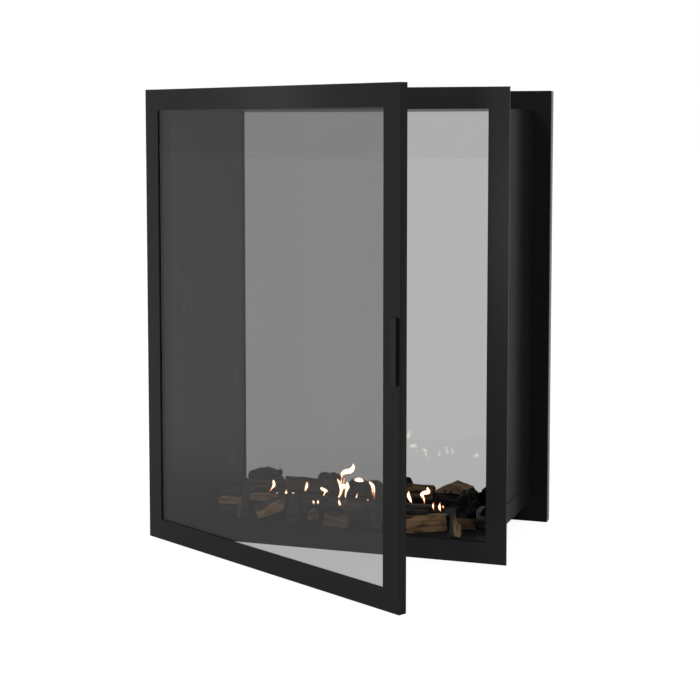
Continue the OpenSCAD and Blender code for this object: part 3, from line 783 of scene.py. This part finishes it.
# %% Bark and split wood
GREY_LOW, GREY_HIGH = (0.020, 0.024, 0.028, 1), (0.080, 0.092, 0.102, 1)
BARK_LOW, BARK_HIGH = (0.010, 0.009, 0.008, 1), (0.042, 0.036, 0.031, 1)
GRAIN_SCALE, PATCH_SCALE, SPECK_SCALE, WOBBLE_SCALE = 90.0, 26.0, 420.0, 60.0
GRAIN_STRETCH, PATCH_STRETCH = (0.12, 1.5, 1.5), (0.6, 1, 1)
CHAR_EDGE = 0.16
RING_TURNS, RING_WOBBLE = 2600.0, 9.0
WOOD_DEPTH = 0.9 * MM


def log_finish(slot, low, high, char, end_colour, char_from):
    wood = Finish(slot, {"Specular IOR Level": 0.15})
    place = wood.attribute("log_place", "Vector")
    end, recess_char_and_shade, bark = wood.parts(wood.attribute("log_marks", "Vector"))
    wood_ash, bark_ash, lightness = wood.parts(wood.attribute("log_tone", "Vector"))
    grain = wood.noise(GRAIN_SCALE, wood.place(GRAIN_STRETCH, place), detail=5, roughness=0.65)
    streak = wood.band(grain, 0.36, 0.66)
    patch = wood.noise(PATCH_SCALE, wood.place(PATCH_STRETCH, place), detail=4, roughness=0.6)
    speck = wood.band(wood.noise(SPECK_SCALE, place, detail=3, roughness=0.7), 0.5, 0.75)
    burnt = wood.band(patch + recess_char_and_shade * 0.2, char_from, char_from + CHAR_EDGE)
    wobble = wood.noise(WOBBLE_SCALE, place, detail=3) * RING_WOBBLE
    across = wood.length(wood.place((0, 1, 1), place)) * RING_TURNS
    rings = wood.node("ShaderNodeMath", {"operation": "SINE"}, {0: across + wobble})
    ashen = wood.blend(streak, GREY_LOW, GREY_HIGH)
    face = wood.blend(rings * 0.3 + 0.5, darker(end_colour, 0.6), end_colour)
    inner = wood.blend(wood_ash, wood.blend(end, wood.blend(streak, low, high), face), ashen)
    rind = wood.blend(bark_ash, wood.blend(streak * 0.6 + speck * 0.4, BARK_LOW, BARK_HIGH), ashen)
    skin = {0: wood.blend(bark, inner, rind), "Scale": lightness}
    lit = wood.node("ShaderNodeVectorMath", {"operation": "SCALE"}, skin)
    charred = wood.blend(burnt * (1 - 0.6 * wood_ash), lit, char)
    # Painted shade: recesses are darkened towards black by their depth.
    wood.feed("Base Color", wood.blend(recess_char_and_shade * 0.75, charred, darker(char, 0.35)))
    wood.feed("Roughness", 0.8 + burnt * 0.12)
    wood.bump(grain * 0.7 + patch * 0.6 + rings * end * 0.1, WOOD_DEPTH, 0.7)
    return wood.material


WOODS = {
    "dark_log": {"low": (0.012, 0.010, 0.009, 1), "high": (0.046, 0.037, 0.030, 1),
                 "char": (0.007, 0.006, 0.006, 1), "end_colour": (0.075, 0.052, 0.035, 1),
                 "char_from": 0.50},
    "brown_log": {"low": (0.055, 0.033, 0.018, 1), "high": (0.160, 0.100, 0.055, 1),
                  "char": (0.012, 0.009, 0.008, 1), "end_colour": (0.13, 0.085, 0.05, 1),
                  "char_from": 0.55},
    "light_log": {"low": (0.15, 0.088, 0.045, 1), "high": (0.33, 0.205, 0.105, 1),
                  "char": (0.035, 0.022, 0.014, 1), "end_colour": (0.28, 0.19, 0.11, 1),
                  "char_from": 0.60},
}
for slot, look in WOODS.items():
    materials[slot] = log_finish(slot, **look)
for log, slot in logs:
    log.data.materials.append(materials[slot])
print("woods:", ", ".join(WOODS))

# %% [markdown]
# ## Ceramic wool
# The tank is packed with a white fibre mat that soaks up the fuel and holds the flame. A block
# would look hard, so a grid of points over the mat's box is pushed in by soft noise to a lumpy pad.
# The fire has blackened it along the slot.

# %% Wool pad
WOOL_STEP = 7 * MM
WOOL_SINK = 3 * MM
SLOT_SOOT = 120 * MM
LUMP_SCALE = 60
WOOL_WHITE = (0.55, 0.52, 0.47, 1)


def wool_pad():
    low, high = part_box("ceramic_wool")
    size = high - low
    wide = round(size.x / WOOL_STEP)
    deep = round(size.y / WOOL_STEP)
    points, faces = [], []
    for layer in (0, 1):
        for i in range(wide + 1):
            for j in range(deep + 1):
                x, y = low.x + size.x * i / wide, low.y + size.y * j / deep
                lump = 0.5 + 0.5 * noise.noise(Vector((x * LUMP_SCALE, y * LUMP_SCALE, layer)))
                points.append((x, y, high.z - WOOL_SINK * lump if layer else low.z))
    row, sheet = deep + 1, (wide + 1) * (deep + 1)
    for i in range(wide):
        for j in range(deep):
            a = i * row + j
            faces.append((a, a + 1, a + row + 1, a + row))
            faces.append((sheet + a, sheet + a + row, sheet + a + row + 1, sheet + a + 1))
    rim = [i * row for i in range(wide)] + [wide * row + j for j in range(deep)]
    rim += [i * row + deep for i in range(wide, 0, -1)] + list(range(deep, 0, -1))
    for a, b in zip(rim, rim[1:] + rim[:1]):
        faces.append((a, b, b + sheet, a + sheet))
    return new_piece("wool_pad", points, faces)


fibre = Finish("wool", {"Roughness": 0.95, "Specular IOR Level": 0.05})
far_off = off_slot(fibre) * (1 / SLOT_SOOT)
clean = fibre.band(fibre.noise(22.0, fibre.place(), detail=4) * 0.5 + far_off, 0.8, 1.3)
fibre.feed("Base Color", fibre.blend(clean, SOOT_BLACK, WOOL_WHITE))
fibre.bump(fibre.noise(500.0, fibre.place((1, 0.3, 1)), detail=5), 0.6 * MM, 0.8)
materials["wool"] = fibre.material
wool = wool_pad()
wool.data.materials.append(materials["wool"])
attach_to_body(wool, "casing")
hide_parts("ceramic_wool")
print("wool pad,", len(wool.data.polygons), "faces")

# %% [markdown]
# ## Caps over the anchor holes, as painted shade
# Four holes in the casing's floor take its anchors, and the glowing floor would show through them,
# where under the casing there is only shade. Small black caps close them as painted shade, as a
# fitter would close them. A plain disc would do. Here a profile is turned round the hole's axis, so
# that each cap has a thin rounded rim.

# %% Anchor caps
ANCHOR_SPAN = (620 * MM, 260 * MM)
TRAY_TOP = 2 * MM
CAP_PROFILE = [(8.0, 0.05), (7.9, 0.4), (7.4, 0.6), (3.0, 0.6)]
CAP_SIDES = 32
points, faces = [], []
for x_side, y_side in SQUARE:
    first = len(points)
    x, y = x_side * ANCHOR_SPAN[0] / 2, y_side * ANCHOR_SPAN[1] / 2
    for radius, height in CAP_PROFILE:
        for i in range(CAP_SIDES):
            angle = 2 * math.pi * i / CAP_SIDES
            points.append((x + radius * MM * math.cos(angle), y + radius * MM * math.sin(angle),
                           TRAY_TOP + height * MM))
    close_tube(faces, first, len(points), CAP_SIDES)
# Painted shade: dark caps where the holes would show the glowing floor.
caps = new_piece("anchor_shade_caps", points, faces)
caps.data.materials.append(materials["casing_black"])
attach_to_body(caps, "casing")
print("4 anchor caps")

# %% [markdown]
# ## Flames
# Ethanol burns with small, torn, yellow tongues. Smoke simulation is slow and never lands on a
# chosen shape. Each tongue here is a curved tube that swells and thins along a spine given in
# millimetres: how far it stands behind the slot's middle, then for each point its place along the
# slot, its height over the deck and half its thickness. All are then let down by a small drop, and
# their roots are cut off level above the shutter.

# %% Flame spines
FLAME_DROP = 2.0
FLAMES = [
    (0, [(-212, -9, 0.9), (-209, 1, 1.5), (-203, 9, 2.6), (-198, 17, 4.4), (-199, 26, 3.1),
         (-199, 31, 0.7)]),
    (-6, [(-188, -4, 0.9), (-188, -1, 3.2), (-188, 2, 0.7)]),
    (-4, [(-163, -10, 0.7), (-166, -4, 4.2), (-166, 4, 2.9), (-165, 11, 0.7)]),
    (3, [(-157, -3, 0.9), (-153, 1, 2.0), (-149, -1, 1.8), (-147, -9, 0.7)]),
    (6, [(-123, 4, 0.7), (-122, 10, 2.9), (-119, 18, 4.4), (-118, 25, 3.1), (-118, 31, 0.7)]),
    (0, [(-83, 21, 1.0), (-79, 17, 4.0), (-72, 14, 4.6), (-67, 12, 3.5), (-66, 8, 0.9)]),
    (0, [(-70, 11, 3.1), (-74, 4, 2.2), (-73, -4, 2.0), (-67, -13, 0.7)]),
    (-84, [(-68, -2, 0.7), (-68, 4, 3.3), (-70, 10, 0.7)]),
    (-84, [(-58, 0, 0.7), (-58, 5, 3.3), (-57, 12, 0.7)]),
    (-6, [(-47, -7, 0.9), (-47, -4, 2.6), (-47, -1, 0.7)]),
    (-4, [(-34, -8, 1.8), (-37, -2, 2.9), (-33, 8, 3.5), (-30, 20, 4.8), (-32, 31, 5.1),
          (-38, 40, 2.9), (-42, 46, 0.7)]),
    (-84, [(-4, -1, 0.9), (-6, 6, 3.5), (-8, 12, 2.4), (-9, 17, 0.7)]),
    (-4, [(-18, -7, 0.7), (-20, 3, 2.4), (-19, 15, 3.3), (-15, 27, 5.1), (-16, 35, 3.3),
          (-15, 40, 0.7)]),
    (-4, [(-32, 21, 2.2), (-25, 27, 7.0), (-18, 31, 3.5)]),
    (-4, [(-30, 33, 2.9), (-30, 44, 2.0), (-32, 55, 0.7)]),
    (-4, [(-25, 34, 2.6), (-23, 45, 2.0), (-21, 53, 0.7)]),
    (-4, [(-29, 43, 1.1), (-28, 56, 5.5), (-19, 62, 7.0), (-9, 64, 7.0), (-2, 72, 6.0),
          (-1, 81, 2.5)]),
    (4, [(-2, 42, 1.5), (5, 43, 5.0), (14, 43, 5.5), (22, 40, 1.5)]),
    (5, [(33, 41, 1.5), (38, 37, 4.0), (43, 31, 4.8), (46, 22, 3.0), (47, 12, 2.0), (48, 1, 0.9)]),
    (5, [(40, 31, 2.5), (42, 19, 2.2), (45, 7, 1.5), (46, -1, 0.9)]),
    (8, [(1, -7, 0.7), (2, 0, 2.6), (4, 7, 2.0), (7, 14, 0.7)]),
    (-7, [(35, -6, 0.9), (35, -3, 3.1), (35, 1, 0.7)]),
    (8, [(81, 6, 0.9), (80, 20, 3.5), (81, 36, 2.6), (80, 47, 0.7)]),
    (4, [(108, 9, 0.9), (105, 20, 3.5), (100, 30, 4.8), (99, 41, 3.5), (96, 52, 0.7)]),
    (9, [(113, 20, 1.1), (115, 34, 3.7), (112, 45, 2.6), (113, 54, 0.7)]),
    (0, [(138, -2, 0.9), (134, 7, 3.5), (130, 16, 4.2), (130, 24, 2.0), (129, 28, 0.7)]),
    (0, [(168, -1, 0.7), (167, 7, 2.2), (165, 14, 2.9), (161, 21, 4.2), (168, 26, 4.8),
         (177, 28, 4.6), (175, 35, 3.3), (174, 40, 0.7)]),
    (-84, [(214, 8, 0.7), (212, 17, 2.6), (213, 26, 0.7)]),
    (-84, [(230, 6, 0.7), (227, 14, 3.3), (227, 22, 2.0), (228, 27, 0.7)]),
    (-84, [(236, 14, 0.7), (235, 17, 2.2), (235, 21, 0.7)]),
]
tallest = max(spine[-1][1] for _, spine in FLAMES) - FLAME_DROP
print("the tallest tongue ends", tallest, "mm over the deck")

# %% Tubes along the spines
FLAME_STEPS = 5
FLAME_SIDES = 12
FLAME_FOOT = 1.5 * MM
FLAME_TIP = 0.35
BLUNTNESS = 0.25
HEAT_FROM, HEAT_SPAN = 0.9, 1.8
ROOT_HEAT = 0.45
deck_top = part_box("burner_deck")[1].z


def catmull_rom(t, p, q, r, s):
    """The value at t, from 0 to 1, between q and r on a smooth curve through the four values."""
    bend = (2 * p - 5 * q + 4 * r - s) * t * t + (3 * q - p - 3 * r + s) * t ** 3
    return 0.5 * (2 * q + (r - p) * t + bend)


def smooth_spine(spine):
    """A smooth curve through the spine's points, as places and half thicknesses in millimetres."""
    ends = [spine[0]] + spine + [spine[-1]]
    curve = []
    for a, b, c, d in zip(ends, ends[1:], ends[2:], ends[3:]):
        for step in range(FLAME_STEPS):
            t = step / FLAME_STEPS
            curve.append([catmull_rom(t, *four) for four in zip(a, b, c, d)])
    return curve + [list(spine[-1])]


def tongue(spine, depth, grow, points, faces, heat):
    """Add one tongue. It grows or shrinks by the same amount all along its spine."""
    first = len(points)
    curve = smooth_spine(spine)
    places = [Vector((x * MM, depth * MM, deck_top + (z - FLAME_DROP) * MM)) for x, z, _ in curve]
    low, high = min(place.z for place in places), max(place.z for place in places)
    for k, place in enumerate(places):
        ahead = places[min(k + 1, len(places) - 1)] - places[max(k - 1, 0)]
        side = Vector((0, 1, 0)).cross(ahead.normalized())
        half = curve[k][2]
        round_off = math.sin(math.pi * (k + 0.5) / len(places)) ** BLUNTNESS
        reach = max(FLAME_TIP, half + grow) * MM * round_off
        rise = (place.z - low) / (high - low)
        warmth = min(1, max(0, (half - HEAT_FROM) / HEAT_SPAN))
        for i in range(FLAME_SIDES):
            angle = 2 * math.pi * i / FLAME_SIDES
            spot = place + side * reach * math.cos(angle) + Vector((0, reach * math.sin(angle), 0))
            spot.z = max(spot.z, deck_top - FLAME_FOOT)
            points.append(spot)
            heat.append(warmth * (ROOT_HEAT + (1 - ROOT_HEAT) * rise))
    close_tube(faces, first, len(points), FLAME_SIDES)


def flame_piece(name, grow):
    points, faces, heat = [], [], []
    for depth, spine in FLAMES:
        tongue(spine, depth, grow, points, faces, heat)
    piece = new_piece(name, points, faces)
    attach(piece, "flame_heat", "FLOAT", heat)
    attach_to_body(piece, "casing")
    return piece


# %% [markdown]
# ## Fire as three layers
# A real tongue is white hot inside and fades through yellow to a thin orange rim, and its root and
# thin ends burn darker than its belly. A glowing volume would show that, but is slow and grainy.
# Here a white-hot core sits in two larger orange layers that let it show through, and the heat
# stored for each point mixes a cool and a hot colour.

# %% Flame finishes
def fire(name, cool, hot, strength, faint, dense):
    flame = Finish(name, {"Base Color": grey(0), "Specular IOR Level": 0, "Roughness": 1,
                          "Emission Strength": strength})
    heat = flame.attribute("flame_heat")
    flame.feed("Emission Color", flame.blend(heat ** 2, cool, hot))
    flame.feed("Alpha", faint + (dense - faint) * heat)
    return flame.material


LAYERS = [
    ("flame_cores", -1.4, (0.05, 0.014, 0.002, 1), (1, 0.86, 0.62, 1), 40.0, 0.6, 1.0),
    ("flame_mantles", -0.5, (0.40, 0.09, 0.008, 1), (1, 0.36, 0.07, 1), 1.8, 0.5, 0.75),
    ("flame_shells", 0.4, (0.60, 0.13, 0.015, 1), (1, 0.20, 0.03, 1), 0.9, 0.25, 0.40),
]
for name, grow, *look in LAYERS:
    layer = flame_piece(name, grow)
    layer.data.materials.append(fire(name, *look))
    layer.visible_diffuse = False
print(len(FLAMES), "tongues in", len(LAYERS), "layers")

# %% [markdown]
# ## Finishes onto the CAD parts
# Every real part leaves the shop with its finish on. The CAD record names a slot for each part, so
# a loop can dress them all. Only the liners differ from their slot, with the paler coat of painted
# light told above.

# %% Dress the CAD nodes
for name, node in nodes.items():
    node.data.materials.clear()
    node.data.materials.append(liner_lit_coat if "liner" in name else materials[slot_of[name]])
print("dressed", len(nodes), "nodes in", len(materials) + 1, "finishes")

# %% [markdown]
# ## Bringing the scene up to date
# The box of the CAD model was taken when it was loaded. Last, the view layer is brought up to date.

# %% Finish
bpy.context.view_layer.update()
